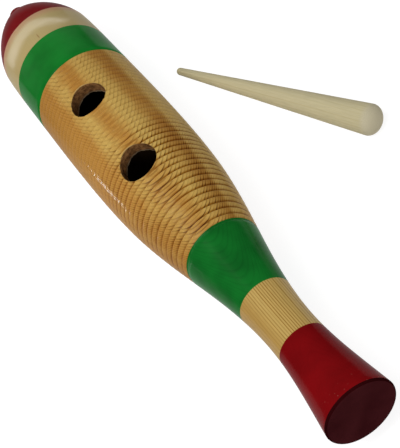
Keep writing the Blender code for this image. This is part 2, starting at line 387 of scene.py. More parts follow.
def rasp_pine():
    """Pine under clear lacquer: warm yellow, with dark dashes where a groove meets late wood, partly stain
    and partly painted shade.
    """
    finish, tree, shader = new_finish("lacquered_pine_rasp")
    place = own_place(tree, fish_seat)
    along, across, up = add(tree, "SeparateXYZ", {0: place})
    late_wood = growth_rings(tree, place, BELLY_PITH, RING, RASP_WANDER, RASP_DRIFT)
    blotch = blotches(tree, place, STAIN_PATCH)
    stain_and_shade, shown = groove_stain_and_shade(tree, along, across, blotch)
    figure = add(tree, "Math", {0: late_wood, 1: shown}, "MULTIPLY")[0]
    tone = board_tone(tree, along, across, blotch)
    colour = add(tree, "Mix", {0: tone, 6: linear("#CEAA5C"), 7: linear("#BC883E")}, data_type="RGBA")[2]
    fine = fibres(tree, place, 0.35, 9.0)
    shade = add(tree, "MapRange", {0: fine, 1: 0.3, 2: 0.7, 3: 0.86, 4: 1.08})[0]
    layers = (
        # browner wood at the rasp's ends, and painted shade down the right flank
        (browner_and_shaded_share(tree, along, across, up), linear("#B98D44")),
        (figure, linear("#7C5724")),
        # darker grooves: stain and painted shade
        (stain_and_shade, linear("#BC9E5E")),
        (1.0, shade),
    )
    for share, tint in layers:
        layer = {0: share, 6: colour, 7: tint}
        colour = add(tree, "Mix", layer, data_type="RGBA", blend_type="MULTIPLY")[2]
    bump = add(tree, "Bump", {"Strength": 0.25, "Distance": 0.05 * MM, "Height": fine})[0]
    fill(tree, shader, {"Base Color": colour, "Normal": bump, "Roughness": 0.6, "Specular IOR Level": 0.05})
    fill(tree, shader, {"Coat Weight": 0.27, "Coat Roughness": 0.1, "Coat IOR": 1.2})
    return finish


pine_on_rasp = rasp_pine()
print("made", pine_on_rasp.name, "with", len(pine_on_rasp.node_tree.nodes), "nodes")

# %% [markdown]
# ## Clear-lacquered pine on the neck and head
#
# The neck and the head are the same pine, sanded smooth before the lacquer. The cut crosses the rings steeply
# there, which draws fine straight lines along the axis. They fade to the left and towards the head. By the
# nose the red paint has crept into the wood, and a thin streak of resin lies on the head. A coat with a
# higher index than lacquer's, at a low weight, lets the arc of light on the head show.

# %% The pine on the neck and head
NECK_PITH = (-100.0, -7.5)  # mm beside the neck: its lines look evenly spaced from above
NECK_RING = 1.3
PLAIN_SIDE = (2.0, 9.0)  # mm to the left, where the lines fade
LINES_ON_LEFT = 0.25  # what is left of them there
LINES_ON_HEAD = 0.08  # and on the head
NECK_GREEN_START = 85.5  # mm from the tail's end
HEAD_GREEN_END = 324.0
RED_BLEED = (343.0, 350.0)  # mm along, where the nose's paint has crept into the wood
RESIN = Vector((328.0, -3.1, 31.9))  # mm, the middle of the streak
RESIN_REACH = (3.4, 0.55, 2.0)  # mm that it runs each way
RESIN_SHARE = 0.7


def resin_streak(tree, place):
    """Share of resin: a thin streak along the grain with soft edges."""
    scale = [1 / (reach * MM) for reach in RESIN_REACH]
    beside = add(tree, "VectorMath", {0: place, 1: RESIN * MM}, "SUBTRACT")[0]
    scaled = add(tree, "VectorMath", {0: beside, 1: scale}, "MULTIPLY")[0]
    away = add(tree, "VectorMath", {0: scaled}, "LENGTH")[1]
    return add(tree, "MapRange", {0: away, 1: 0.3, 2: 1.0, 3: RESIN_SHARE, 4: 0.0})[0]


def smooth_pine():
    """Sanded pine under clear lacquer: fine straight lines and a clean gloss."""
    finish, tree, shader = new_finish("lacquered_pine")
    place = own_place(tree, fish_seat)
    along, across, _ = add(tree, "SeparateXYZ", {0: place})
    late_wood = growth_rings(tree, place, NECK_PITH, NECK_RING)
    to_head = add(tree, "MapRange", {0: along, 1: NECK_GREEN_START * MM, 2: HEAD_GREEN_END * MM})[0]
    fade = add(tree, "MapRange", {0: to_head, 3: 1.0, 4: LINES_ON_HEAD})[0]
    plain = add(tree, "MapRange", {0: across, 1: PLAIN_SIDE[0] * MM, 2: PLAIN_SIDE[1] * MM}, **SOFT)[0]
    warm = add(tree, "Math", {0: plain, 1: fade}, "MULTIPLY")[0]
    bled = add(tree, "MapRange", {0: along, 1: RED_BLEED[0] * MM, 2: RED_BLEED[1] * MM})[0]
    colour = linear("#C7A761")
    tints = (
        (to_head, "#B8A46F"),
        (warm, "#B8934F"),
        (bled, "#BE9070"),
        (resin_streak(tree, place), "#8E6236"),
    )
    for share, tint in tints:
        colour = add(tree, "Mix", {0: share, 6: colour, 7: linear(tint)}, data_type="RGBA")[2]
    lined = add(tree, "MapRange", {0: plain, 3: 1.0, 4: LINES_ON_LEFT})[0]
    shown = add(tree, "Math", {0: lined, 1: fade}, "MULTIPLY")[0]
    figure = add(tree, "Math", {0: late_wood, 1: shown}, "MULTIPLY")[0]
    fine = fibres(tree, place, 0.35, 14.0)
    shade = add(tree, "MapRange", {0: fine, 1: 0.3, 2: 0.7, 3: 0.9, 4: 1.06})[0]
    for share, tint in ((figure, linear("#BC9C66")), (fade, shade)):
        layer = {0: share, 6: colour, 7: tint}
        colour = add(tree, "Mix", layer, data_type="RGBA", blend_type="MULTIPLY")[2]
    bump = add(tree, "Bump", {"Strength": 0.1, "Distance": 0.03 * MM, "Height": fine})[0]
    rough = add(tree, "MapRange", {0: fine, 3: 0.5, 4: 0.6})[0]
    fill(tree, shader, {"Base Color": colour, "Normal": bump, "Roughness": rough, "Specular IOR Level": 0.05})
    fill(tree, shader, {"Coat Weight": 0.16, "Coat Roughness": 0.08, "Coat IOR": 1.8})
    return finish


pine = smooth_pine()
print("made", pine.name, "with", len(pine.node_tree.nodes), "nodes")

# %% [markdown]
# ## Painted bands
#
# The green and red bands are a thin coloured lacquer, put on with a brush while the fish turned in the lathe.
# A brush leaves an uneven film, so its colour wanders a little. On the neck the green is thinner and the
# grain shows through. The nose is satin. The rim and the end grain of the tail are painted darker, as painted
# shade, since they face away from the light, and they are dull. Specks of bare wood show near the rim. A low
# index gives the film a sheen only at a glancing angle.

# %% Green and red lacquer
PAINT_PATCH = 16.0  # mm
SPECKED = (1.5, 10.0)  # mm from the tail's end, over which the specks become fewer
SPECK = 1.3  # mm


def brushed_lacquer(name, film, deep, gloss, grain=0.2, specks=0.0, blur=0.16, index=1.2):
    """Coloured lacquer over pine: an even, deep colour with the grain just showing, and a satin gloss."""
    finish, tree, shader = new_finish(name)
    place = own_place(tree, fish_seat)
    late_wood = growth_rings(tree, place, BELLY_PITH, RING)
    streak = fibres(tree, place, 0.6, 7.0)
    patch = blotches(tree, place, PAINT_PATCH)
    figure = add(tree, "Math", {0: late_wood, 1: grain, 2: patch}, "MULTIPLY_ADD")[0]
    laid = add(tree, "Math", {0: streak, 1: 0.15, 2: figure}, "MULTIPLY_ADD")[0]
    share = add(tree, "MapRange", {0: laid, 1: 0.2, 2: 1.4})[0]
    colour = add(tree, "Mix", {0: share, 6: linear(film), 7: linear(deep)}, data_type="RGBA")[2]
    along = add(tree, "SeparateXYZ", {0: place})[0]
    fewer = {0: along, 1: SPECKED[0] * MM, 2: SPECKED[1] * MM, 3: specks, 4: 0.0}
    near_end = add(tree, "MapRange", fewer)[0]
    grit = add(tree, "TexNoise", {"Vector": place, "Scale": 1 / (SPECK * MM), "Detail": 0.0})[0]
    speck = add(tree, "MapRange", {0: grit, 1: 0.77, 2: 0.87})[0]
    bare = add(tree, "Math", {0: near_end, 1: speck}, "MULTIPLY")[0]
    colour = add(tree, "Mix", {0: bare, 6: colour, 7: linear("#B4786A")}, data_type="RGBA")[2]
    rough = add(tree, "MapRange", {0: streak, 3: 0.5, 4: 0.65})[0]
    bump = add(tree, "Bump", {"Strength": 0.05, "Distance": 0.04 * MM, "Height": streak})[0]
    fill(tree, shader, {"Base Color": colour, "Normal": bump, "Roughness": rough, "Specular IOR Level": 0.0})
    fill(tree, shader, {"Coat Weight": gloss, "Coat Roughness": blur, "Coat IOR": index})
    return finish


green_lacquer = brushed_lacquer("green_lacquer", "#187E2B", "#126621", grain=0.0, gloss=0.34)
thin_green = brushed_lacquer("green_lacquer_thin", "#147027", "#0E541D", grain=0.3, gloss=0.54, blur=0.24)
red_lacquer = brushed_lacquer("red_lacquer", "#7F0C10", "#6E0A0D", specks=1.0, gloss=0.33, blur=0.2)
satin_red = brushed_lacquer("red_lacquer_satin", "#7C0F13", "#6E0C10", gloss=0.33, blur=0.4, index=1.35)
# painted shade: the flat end and its rim face away from the light, so their red is painted darker
red_end_grain_in_painted_shade = brushed_lacquer("red_lacquer_on_end_grain_painted_shade", "#441A1D", "#341013", gloss=0.0)
red_rim_painted_shade = brushed_lacquer("red_lacquer_on_rim_painted_shade", "#30090B", "#260709", gloss=0.0)
body_paints = (green_lacquer, thin_green, red_lacquer, red_end_grain_in_painted_shade, red_rim_painted_shade)
print("made", satin_red.name, "and", [paint.name for paint in body_paints])

# %% [markdown]
# ## Bored and drilled wood
#
# The chamber and the walls of the finger holes are raw cut wood. The drill tears the fibres, so the walls are
# rough and brown, with a grey fuzz where the drill came through. Sandpaper has cleaned the outer edge. The
# chamber's wood is painted darker still, as painted shade, because hardly any light reaches it.

# %% Cut wood
BORE_RADIUS = 24.6
FUZZ = (0.3, 1.2)  # mm above the chamber, over which the fuzz ends


def cut_wood(name, pale, dark, lip):
    """Raw, torn wood: no gloss at all, rough fibres, and a fuzz of them where the drill came through."""
    finish, tree, shader = new_finish(name)
    place = own_place(tree, fish_seat)
    late_wood = growth_rings(tree, place, BELLY_PITH, RING)
    torn = fibres(tree, place, 2.0, 3.2)
    share = add(tree, "Math", {0: late_wood, 1: 0.4, 2: torn}, "MULTIPLY_ADD")[0]
    patch = add(tree, "MapRange", {0: share, 1: 0.35, 2: 0.8})[0]
    wood = add(tree, "Mix", {0: patch, 6: linear(pale), 7: linear(dark)}, data_type="RGBA")[2]
    outwards = add(tree, "VectorMath", {0: place, 1: (0.0, 1.0, 1.0)}, "MULTIPLY")[0]
    depth = add(tree, "VectorMath", {0: outwards}, "LENGTH")[1]
    edge = {0: depth, 1: (BORE_RADIUS + FUZZ[0]) * MM, 2: (BORE_RADIUS + FUZZ[1]) * MM, 3: 1.0, 4: 0.0}
    fuzz = add(tree, "MapRange", edge)[0]
    colour = add(tree, "Mix", {0: fuzz, 6: wood, 7: linear(lip)}, data_type="RGBA")[2]
    bump = add(tree, "Bump", {"Strength": 0.6, "Distance": 0.2 * MM, "Height": torn})[0]
    fill(tree, shader, {"Base Color": colour, "Normal": bump, "Roughness": 0.9, "Specular IOR Level": 0.1})
    return finish


drilled_pine = cut_wood("drilled_pine", "#AE7D4C", "#482B17", "#8C7A60")
sanded_pine = cut_wood("sanded_pine", "#C4A468", "#A8844C", "#C4A468")
# painted shade: the chamber gets a dark copy of the cut wood, since hardly any light reaches it
bored_pine = cut_wood("bored_pine", "#3A2816", "#1F140B", "#3A2816")
print("made", [wood.name for wood in (drilled_pine, sanded_pine, bored_pine)])

# %% [markdown]
# ## A lathe in Geometry Nodes
#
# Fish, nose and stick are all turned, so one node tree serves as the lathe. It takes an outline, a chain of
# edges from one end of the axis to the other, cuts the ridges into it and sweeps it round a circle. A Screw
# modifier could sweep too, but here the number and depth of the ridges stay inputs to change later.

# %% The lathe
LATHE_CORE = 1 * MM  # radius of the circle that the outline is swept along
RASP_MARGIN = 0.001  # of a ridge, so that both ends of the rasp count as rasp
WELD = 0.001 * MM  # points closer than this become one


def build_lathe():
    """Node tree: outline edges with place along X and radius along Z become a solid turned about X."""
    tree = bpy.data.node_groups.new("lathe", "GeometryNodeTree")
    tree.interface.new_socket("Outline", in_out="INPUT", socket_type="NodeSocketGeometry")
    tree.interface.new_socket("Segments", in_out="INPUT", socket_type="NodeSocketInt")
    tree.interface.new_socket("Ridges", in_out="INPUT", socket_type="NodeSocketInt")
    for size in ("Rasp start", "Rasp end", "Groove depth", "Ridge climb", "Ridge squareness"):
        tree.interface.new_socket(size, in_out="INPUT", socket_type="NodeSocketFloat")
    tree.interface.new_socket("Finish", in_out="INPUT", socket_type="NodeSocketMaterial")
    tree.interface.new_socket("Turned", in_out="OUTPUT", socket_type="NodeSocketGeometry")
    given = add(tree, "NodeGroupInput")

    corner = add(tree, "GeometryNodeInputPosition")[0]
    along, _, radius = add(tree, "SeparateXYZ", {0: corner})
    rasp = ("Rasp start", "Rasp end", "Ridges", "Ridge climb", "Ridge squareness")
    groove, ridge = grooves(tree, along, *[given[name] for name in rasp])
    middle = add(tree, "Math", {0: given["Ridges"], 1: 0.5}, "MULTIPLY")[0]
    reach = add(tree, "Math", {0: middle, 1: RASP_MARGIN}, "ADD")[0]
    on_rasp = add(tree, "Math", {0: ridge, 1: middle, 2: reach}, "COMPARE")[0]
    depth = add(tree, "Math", {0: groove, 1: given["Groove depth"]}, "MULTIPLY")[0]
    cut = add(tree, "Math", {0: depth, 1: on_rasp}, "MULTIPLY")[0]
    turned_radius = add(tree, "Math", {0: radius, 1: cut}, "SUBTRACT")[0]

    out = add(tree, "Math", {0: turned_radius, 1: LATHE_CORE}, "SUBTRACT")[0]
    down = add(tree, "Math", {0: along, 1: -1.0}, "MULTIPLY")[0]
    profile_corner = add(tree, "CombineXYZ", {"X": out, "Y": down})[0]
    chain = add(tree, "GeometryNodeMeshToCurve", {"Mesh": given["Outline"]})[0]
    profile = add(tree, "GeometryNodeSetPosition", {"Geometry": chain, "Position": profile_corner})[0]
    core = {"Resolution": given["Segments"], "Radius": LATHE_CORE}
    circle = add(tree, "GeometryNodeCurvePrimitiveCircle", core)[0]
    swept = add(tree, "GeometryNodeCurveToMesh", {"Curve": circle, "Profile Curve": profile})[0]
    laid = add(tree, "GeometryNodeTransform", {"Geometry": swept, "Rotation": (0.0, math.pi / 2, 0.0)})[0]
    closed = add(tree, "GeometryNodeMergeByDistance", {"Geometry": laid, "Distance": WELD})[0]
    real = add(tree, "GeometryNodeRealizeInstances", {"Geometry": closed})[0]
    finished = add(tree, "GeometryNodeSetMaterial", {"Geometry": real, "Material": given["Finish"]})[0]
    add(tree, "NodeGroupOutput", {"Turned": finished})
    return tree


lathe = build_lathe()
print("the lathe has", len(lathe.nodes), "nodes")

# %% [markdown]
# ## Turning an outline
#
# A helper puts an outline on the lathe and takes a plain mesh off it. The modifier's inputs are set by their
# identifiers before Blender first evaluates the object. Poles are merged, and faces are turned outwards.

# %% Use the lathe
def turn(name, outline, segments, finish, ridges=0):
    """Plain mesh turned from (place, radius) points in mm, on its own axis."""
    chain = bpy.data.meshes.new(name)
    corners = [(place * MM, 0.0, radius * MM) for place, radius in outline]
    chain.from_pydata(corners, [(i, i + 1) for i in range(len(corners) - 1)], [])
    blank = put(name, chain)
    modifier = blank.modifiers.new("lathe", "NODES")
    modifier.node_group = lathe
    sizes = {
        "Segments": segments,
        "Ridges": max(ridges, 1),
        "Rasp start": RASP_START * MM,
        "Rasp end": RASP_END * MM,
        "Groove depth": GROOVE_DEPTH * MM if ridges else 0.0,
        "Ridge climb": RIDGE_CLIMB,
        "Ridge squareness": RIDGE_SQUARENESS,
        "Finish": finish,
    }
    for socket in lathe.interface.items_tree:
        if socket.name in sizes:
            modifier[socket.identifier] = sizes[socket.name]
    return take_off(blank)


def take_off(blank):
    """Plain mesh of an object as its modifiers make it, with closed poles and faces out."""
    evaluated = blank.evaluated_get(bpy.context.evaluated_depsgraph_get())
    mesh = bpy.data.meshes.new_from_object(evaluated)
    bpy.data.objects.remove(blank)
    shaped = bmesh.new()
    shaped.from_mesh(mesh)
    bmesh.ops.remove_doubles(shaped, verts=shaped.verts, dist=WELD)
    bmesh.ops.recalc_face_normals(shaped, faces=shaped.faces)
    shaped.to_mesh(mesh)
    shaped.free()
    return mesh


print("the lathe takes", [socket.name for socket in lathe.interface.items_tree if socket.in_out == "INPUT"])

# %% [markdown]
# ## Drawing an outline
#
# A turner marks a few places on the blank, sets calipers there and fairs a smooth curve between the marks.
# The outlines are drawn in the same way: stations with a radius and a slope, a cubic between each two, and
# quarter ellipses where an edge is rounded.

# %% Outline helpers
def even(start, end, step):
    """Evenly spaced places from start up to, but not including, end."""
    count = max(1, round((end - start) / step))
    return [start + (end - start) * i / count for i in range(count)]


def quarter(place, radius, along, across, count=8):
    """Points of a quarter ellipse from (place, radius + across) to (place + along, radius)."""
    angles = [math.pi / 2 * i / count for i in range(count + 1)]
    return [(place + along * math.sin(a), radius + across * math.cos(a)) for a in angles]


def outline_radius(stations, place):
    """Radius of a smooth outline: a cubic between each two stations of (place, radius, slope)."""
    for (start, r_start, slope_start), (end, r_end, slope_end) in zip(stations, stations[1:]):
        if place <= end:
            break
    length = end - start
    t = (place - start) / length
    return (
        (2 * t**3 - 3 * t**2 + 1) * r_start
        + (t**3 - 2 * t**2 + t) * length * slope_start
        + (3 * t**2 - 2 * t**3) * r_end
        + (t**3 - t**2) * length * slope_end
    )


print("a rounded edge gets", len(quarter(0.0, 0.0, 1.0, 1.0)), "points")

# %% [markdown]
# ## The body
#
# Tail, neck, belly and head are one block of pine. Eight stations give its outline. The rasp gets ten points
# to a ridge, and the smooth parts have a few millimetres between points.

# %% Turn the body
BODY_STATIONS = (
    (0.0, 19.9, -0.137),
    (60.5, 13.5, 0.0),
    (128.0, 22.3, 0.203),
    (185.0, 31.15, 0.075),
    (250.0, 33.0, 0.0),
    (300.0, 32.5, -0.014),
    (326.0, 32.15, -0.014),
    (350.0, 31.25, -0.065),
)
BODY_END = BODY_STATIONS[-1][0]
TAIL_RIM = 1.4  # rounding of the tail's edge
TAIL_RED_END = 50.0
BODY_SEGMENTS = 112
POINTS_PER_RIDGE = 10
SMOOTH_STEP = 2.5  # mm between points elsewhere
SHOULDER = 0.8  # slope from the smooth wood down into the first and last groove


def body_outline():
    """(place, radius) from the middle of the tail, along the outside, to the middle of the head's end."""
    rim = outline_radius(BODY_STATIONS, TAIL_RIM) - TAIL_RIM
    points = [(0.0, 0.0), (0.0, rim * 0.5)]
    points += reversed(quarter(TAIL_RIM, rim, -TAIL_RIM, TAIL_RIM))
    places = even(TAIL_RIM, TAIL_RED_END, SMOOTH_STEP)[1:]
    places += even(TAIL_RED_END, NECK_GREEN_START, SMOOTH_STEP)
    places += even(NECK_GREEN_START, RASP_START - SHOULDER, SMOOTH_STEP)
    places += [RASP_START - SHOULDER]
    places += even(RASP_START, RASP_END, PITCH / POINTS_PER_RIDGE)
    places += [RASP_END, RASP_END + SHOULDER]
    places += even(RASP_END + SHOULDER, HEAD_GREEN_END, SMOOTH_STEP)[1:]
    places += even(HEAD_GREEN_END, BODY_END, SMOOTH_STEP)
    places += [BODY_END]
    points += [(place, outline_radius(BODY_STATIONS, place)) for place in places]
    points.append((BODY_END, 0.0))
    return points


body = turn("rasp_body_turned", body_outline(), BODY_SEGMENTS, pine_on_rasp, ridges=RIDGES)
print("body:", len(body.polygons), "faces")

# %% [markdown]
# ## The boring tool
#
# The chamber is bored from the head end, before the nose closes it. A tool that leaves a round bottom keeps
# the wall thick where the belly narrows to the neck. The tool is turned too, and later cut out of the body.

# %% The boring tool
BORE_DOME_START = 180.0
BORE_DOME_DEPTH = 22.0
BORE_SEGMENTS = 96
BORE_OVERRUN = 10.0  # mm that the tool stands out of the head


def bore_outline():
    """(place, radius) of the boring tool, from the bottom of its dome to past the open end."""
    dome = reversed(quarter(BORE_DOME_START, 0.0, -BORE_DOME_DEPTH, BORE_RADIUS, count=12))
    past_end = BODY_END + BORE_OVERRUN
    return [*dome, (past_end, BORE_RADIUS), (past_end, 0.0)]


borer = turn("borer", bore_outline(), BORE_SEGMENTS, bored_pine)
print("the chamber is", BODY_END - BORE_DOME_START + BORE_DOME_DEPTH, "mm deep")

# %% [markdown]
# ## The finger drills
#
# Two holes for a finger and a thumb are drilled into the chamber from above. A plain cylinder would leave
# knife edges. So each cutter follows the round belly at its top and flares there, which breaks the edge all
# round as a turn of sandpaper would, and at the chamber it is ragged, because a drill tears the fibres where
# it comes through.

# %% The finger drills
HOLE_PLACES = (191.0, 254.5)
HOLE_TURNS = (math.radians(-1.6), math.radians(1.6))
HOLE_RADIUS = 11.4
HOLE_SEGMENTS = 72
EDGE_BREAK = 0.5  # width of the softened edge
TEAR = 0.45  # how far the fibres tear out where the drill comes through
TEAR_HEIGHT = 2.5  # and how far up the wall
DRILL_TOP = 40.0  # mm above the axis, clear of the belly


def drill_mesh(hole_place, hole_turn):
    """Round cutter whose top follows the belly and flares out over the softened edge."""
    steps = (  # measured from, mm above that, mm beyond the hole's radius, mm torn out
        ("axis", 0.0, 0.0, TEAR),
        ("bore", -1.0, 0.0, TEAR),
        ("bore", TEAR_HEIGHT, 0.0, 0.0),
        ("belly", -EDGE_BREAK, 0.0, 0.0),
        ("belly", -0.5 * EDGE_BREAK, 0.12 * EDGE_BREAK, 0.0),
        ("belly", -0.15 * EDGE_BREAK, 0.4 * EDGE_BREAK, 0.0),
        ("belly", 0.05 * EDGE_BREAK, EDGE_BREAK, 0.0),
        ("belly", 4.0, EDGE_BREAK, 0.0),
    )
    waves = ((5, hole_place), (13, 0.0), (29, hole_place))  # waves round the hole, and where they start
    shaped = bmesh.new()
    rings = []
    for base, above, beyond, tear in steps:
        ring = []
        for i in range(HOLE_SEGMENTS):
            angle = 2 * math.pi * i / HOLE_SEGMENTS
            ragged = sum(math.sin(count * angle + start) for count, start in waves)
            radius = HOLE_RADIUS + beyond + tear * ragged / 2
            x = hole_place + radius * math.cos(angle)
            y = radius * math.sin(angle)
            turned = {"axis": y, "bore": BORE_RADIUS, "belly": outline_radius(BODY_STATIONS, x)}[base]
            ring.append(shaped.verts.new(Vector((x, y, math.sqrt(turned**2 - y**2) + above)) * MM))
        rings.append(ring)
    for level, (low, high) in enumerate(zip(rings, rings[1:])):
        for i in range(HOLE_SEGMENTS):
            j = (i + 1) % HOLE_SEGMENTS
            face = shaped.faces.new((low[i], low[j], high[j], high[i]))
            face.material_index = 1 if steps[level][0] == "belly" else 0
    shaped.faces.new(list(reversed(rings[0])))
    top = shaped.verts.new(Vector((hole_place, 0.0, DRILL_TOP)) * MM)
    for i in range(HOLE_SEGMENTS):
        shaped.faces.new((rings[-1][i], rings[-1][(i + 1) % HOLE_SEGMENTS], top))
    bmesh.ops.recalc_face_normals(shaped, faces=shaped.faces)
    mesh = bpy.data.meshes.new("finger_drill")
    shaped.to_mesh(mesh)
    shaped.free()
    mesh.materials.append(drilled_pine)
    mesh.materials.append(sanded_pine)
    mesh.transform(Matrix.Rotation(hole_turn, 4, "X"))
    return mesh


drills = [drill_mesh(place, hole_turn) for place, hole_turn in zip(HOLE_PLACES, HOLE_TURNS)]
print("finger holes", 2 * HOLE_RADIUS, "mm wide, at", HOLE_PLACES, "mm")

# %% [markdown]
# ## Boring and drilling
#
# Boolean cuts take the tools out of the body, as boring and drilling did. The holes' walls could be built
# face by face, but a cut also finds where it meets the ridges. Each cut face keeps its tool's finish.

# %% Bore and drill
def cut_away(mesh, cutters):
    """Mesh with each cutter's shape taken out, keeping the cutter's finish on the cut faces."""
    blank = put("blank", mesh)
    tools = []
    for cutter in cutters:
        tool = put("tool", cutter)
        cut = blank.modifiers.new("cut", "BOOLEAN")
        cut.object = tool
        cut.material_mode = "TRANSFER"
        tools.append(tool)
    evaluated = blank.evaluated_get(bpy.context.evaluated_depsgraph_get())
    result = bpy.data.meshes.new_from_object(evaluated)
    for used in (blank, *tools):
        bpy.data.objects.remove(used)
    return result


body = cut_away(body, [borer, *drills])
print("bored and drilled:", len(body.polygons), "faces,", [wood.name for wood in body.materials])

# %% [markdown]
# ## Painting the body
#
# Each face takes the finish of the band it lies in, measured along the axis, as a brush held against the
# turning fish would leave it. A painted image could do the same, but the outline already has points where
# the paint ends. Faces that the tools cut keep theirs.

# %% Paint the body
FLAT_END = 0.1 * TAIL_RIM  # mm along, up to which a face belongs to the flat end
PAINT_RUN = 0.7  # mm that the green paint ran into the first groove, to the nearest face
PAINT_BANDS = (  # mm along where each band ends, and its finish
    # the flat end and the rim take the darker reds of painted shade
    (FLAT_END, red_end_grain_in_painted_shade),
    (TAIL_RIM, red_rim_painted_shade),
    (TAIL_RED_END, red_lacquer),
    (NECK_GREEN_START, pine),
    (RASP_START + PAINT_RUN, thin_green),
    (RASP_END - (1 - RIDGE_CLIMB) * PITCH, pine_on_rasp),
    (HEAD_GREEN_END, green_lacquer),
    (BODY_END + 1.0, pine),
)


def paint_bands(mesh):
    """Give the turned faces the finish of their band."""
    for finish in (pine, *body_paints):
        mesh.materials.append(finish)
    slots = {finish.name: index for index, finish in enumerate(mesh.materials)}
    for face in mesh.polygons:
        if mesh.materials[face.material_index] == pine_on_rasp:
            place = face.center.x / MM
            finish = next(finish for end, finish in PAINT_BANDS if place < end)
            face.material_index = slots[finish.name]


paint_bands(body)
print("painted", len(PAINT_BANDS), "bands")

# %% [markdown]
# ## Laying a piece on the table
#
# A finished mesh is moved to its place, and the object itself stays at the origin, unturned, as the CAD
# solids do. Edges sharper than 50 degrees stay sharp and all others are shaded smooth. The piece is then
# attached to the body it rides on, and the CAD solid it stands for is hidden.

# %% Place the body
SHARP_EDGE = math.radians(50)


def place_piece(name, mesh, seat, body_name, node):
    """Make a finished mesh the visible piece for a CAD node."""
    mesh.transform(seat)
    mesh.shade_smooth()
    mesh.set_sharp_from_angle(angle=SHARP_EDGE)
    piece = put(name, mesh)
    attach(piece, body_name)
    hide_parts(node)
    print(name, "stands for", node, "with", sum(len(f.vertices) - 2 for f in mesh.polygons), "triangles")


place_piece("fish_body", body, fish_seat, "fish", "rasp_body")

# %% [markdown]
# ## The nose
#
# The nose plugs the bored end. It is an ogive with a small round mouth at the tip, and a spigot behind it
# goes into the bore. The red paint runs over the joint, so only a hairline is left between nose and head.

# %% Turn the nose
HAIRLINE = 0.05
NOSE_STATIONS = (
    (BODY_END + HAIRLINE, 31.2, -0.15),
    (395.5, 8.0, -0.8),
)
NOSE_STEP = 1.5  # mm between points
SPIGOT_LENGTH = 15.0
SPIGOT_CHAMFER = 1.5
SPIGOT_PLAY = 0.3
MOUTH_RADIUS = 6.4
MOUTH_TIP = 402.0
MOUTH_ROUND = 3.0
MOUTH_FILLET = (0.5, 0.8)  # mm along and inwards, where the nose turns into the mouth


def nose_outline():
    """(place, radius) from the end of the spigot, over the nose, to the mouth."""
    seat, edge, _ = NOSE_STATIONS[0]
    face, foot, _ = NOSE_STATIONS[-1]
    spigot = BORE_RADIUS - SPIGOT_PLAY
    back = BODY_END - SPIGOT_LENGTH
    points = [(back, 0.0), (back, spigot - SPIGOT_CHAMFER), (back + SPIGOT_CHAMFER, spigot)]
    points += [(seat, spigot), (seat, edge)]
    points += [(p, outline_radius(NOSE_STATIONS, p)) for p in even(seat, face, NOSE_STEP)[1:]]
    points += [(face, foot), (face + MOUTH_FILLET[0], foot - MOUTH_FILLET[1])]
    points += [(face + MOUTH_ROUND / 2, MOUTH_RADIUS)]
    points += quarter(MOUTH_TIP - MOUTH_ROUND, MOUTH_RADIUS - MOUTH_ROUND, MOUTH_ROUND, MOUTH_ROUND)
    points.append((MOUTH_TIP, 0.0))
    return points


nose = turn("nose_turned", nose_outline(), BODY_SEGMENTS, satin_red)
place_piece("fish_nose", nose, fish_seat, "fish", "nose_plug")

# %% [markdown]
# ## Where the stick lies
#
# The scraper is a plain tapered stick that lies on its side, to the right of the fish. A cone on a table
# leans by half its own angle, so its axis slopes down to the tip and its lower side touches all along.

# %% Where the stick lies
STICK_LENGTH = 160.5
STICK_BUTT = 8.8  # radius
STICK_TIP = 2.3
STICK_DOME = 6.0  # length of the rounded butt
STICK_PLACE = (139.3, -107.3)  # mm along and across from the tail's foot
STICK_TURN = math.radians(21.0)
STICK_TAPER = (STICK_BUTT - STICK_TIP) / (STICK_LENGTH - STICK_DOME - STICK_TIP)

lean = math.atan(STICK_TAPER)
stick_height = (STICK_BUTT + STICK_DOME * STICK_TAPER) * math.cos(lean)
stick_seat = (
    Matrix.Translation(tail_foot + Vector((*STICK_PLACE, stick_height)) * MM)
    @ Matrix.Rotation(STICK_TURN, 4, "Z")
    @ Matrix.Rotation(lean, 4, "Y")
)
print("the stick leans", round(math.degrees(lean), 2), "degrees")

# %% [markdown]
# ## Raw softwood
#
# The stick is sanded and left raw, so it is matt, pale and a little grey, with faint lines along it. On the
# domed butt the cut crosses the fibres and shows plain end grain without those lines.

# %% Raw softwood
STICK_PITH = (30.0, -18.0)  # mm beside and below the stick's axis
STICK_RING = 1.8
STICK_WANDER = 1.6
END_GRAIN = (0.6 * STICK_DOME, 1.2 * STICK_DOME)  # mm along, where the end grain ends


def raw_softwood():
    """Sanded bare wood: pale, dry and matt."""
    finish, tree, shader = new_finish("raw_softwood")
    place = own_place(tree, stick_seat)
    late_wood = growth_rings(tree, place, STICK_PITH, STICK_RING, STICK_WANDER)
    wood = add(tree, "Mix", {0: late_wood, 6: linear("#CABF98"), 7: linear("#C3B78D")}, data_type="RGBA")[2]
    along = add(tree, "SeparateXYZ", {0: place})[0]
    butt = {0: along, 1: END_GRAIN[0] * MM, 2: END_GRAIN[1] * MM, 3: 1.0, 4: 0.0}
    end_grain = add(tree, "MapRange", butt)[0]
    wood = add(tree, "Mix", {0: end_grain, 6: wood, 7: linear("#C6BC9E")}, data_type="RGBA")[2]
    fine = fibres(tree, place, 0.4, 18.0)
    shade = add(tree, "MapRange", {0: fine, 1: 0.3, 2: 0.7, 3: 0.92, 4: 1.05})[0]
    colour = add(tree, "Mix", {0: 1.0, 6: wood, 7: shade}, data_type="RGBA", blend_type="MULTIPLY")[2]
    bump = add(tree, "Bump", {"Strength": 0.3, "Distance": 0.05 * MM, "Height": fine})[0]
    fill(tree, shader, {"Base Color": colour, "Normal": bump, "Roughness": 0.75, "Specular IOR Level": 0.3})
    return finish


bare_wood = raw_softwood()
print("made", bare_wood.name)

# %% [markdown]
# ## The stick
#
# A dome, a straight taper and a round tip make the stick. A cone primitive has neither end, so it is turned
# on the lathe like the rest, without ridges.

